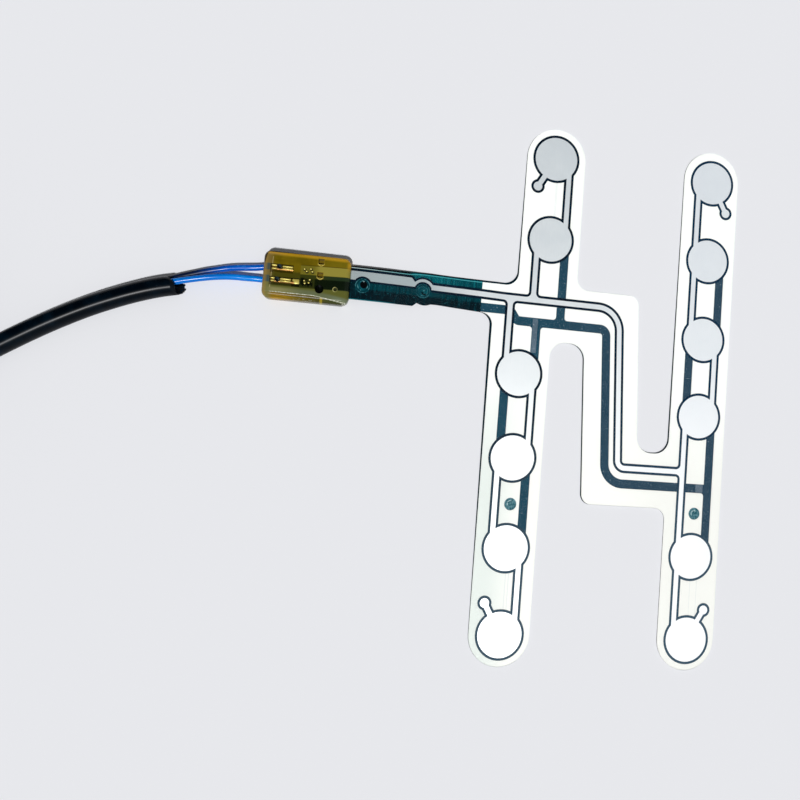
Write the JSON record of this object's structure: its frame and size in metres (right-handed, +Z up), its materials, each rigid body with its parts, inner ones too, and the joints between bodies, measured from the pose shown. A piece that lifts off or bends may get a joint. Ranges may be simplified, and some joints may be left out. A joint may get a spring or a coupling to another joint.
{
  "type": "seat pressure sensor",
  "caption": "Flat printed film mat with round pressure cells on branching arms, a moulded amber block at its tail, and a sleeved two-wire lead with a plug.",
  "frame": {"origin": "on the surface the mat lies on, under the middle of the mat and block without the lead", "axes": "+Y along the arms towards the end with the upper left cell, +X from the block towards the right column, +Z up out of the printed face"},
  "size_m": [0.3213, 0.1836, 0.0133],
  "materials": {
    "lower_film": "dark teal polyester film, seen through the clear layer above it",
    "lower_silver": "matt silver ink under carbon ink",
    "lower_carbon": "blue-black carbon ink",
    "spacer": "white spacer layer",
    "upper_carbon": "navy carbon ink",
    "upper_silver": "silver ink with a satin sheen",
    "upper_film": "clear polyester film",
    "housing": "amber translucent moulded resin",
    "terminal": "gold-flashed strip",
    "conductor": "bare copper strands",
    "wire": "blue insulation with a soft gloss",
    "sleeve": "black tube, semi-matt",
    "tie": "black nylon strap",
    "plug": "dark grey nylon",
    "plug_contact": "plated socket contact",
    "plug_lock": "natural nylon lock bar"
  },
  "bodies": {
    "root": {"lower_film": "lower_film", "lower_silver": "lower_silver", "lower_carbon": "lower_carbon", "spacer": "spacer", "upper_carbon": "upper_carbon", "upper_silver": "upper_silver", "upper_film": "upper_film", "housing": "housing", "terminal_upper": "terminal", "terminal_lower": "terminal", "conductor_upper": "conductor", "conductor_lower": "conductor", "wire_upper": "wire", "wire_lower": "wire", "lead_sleeve": "sleeve", "lead_coil": "sleeve", "lead_end": "sleeve", "coil_tie": "tie", "plug_body": "plug", "plug_contact_a": "plug_contact", "plug_contact_b": "plug_contact", "plug_lock": "plug_lock"}
  },
  "joints": []
}
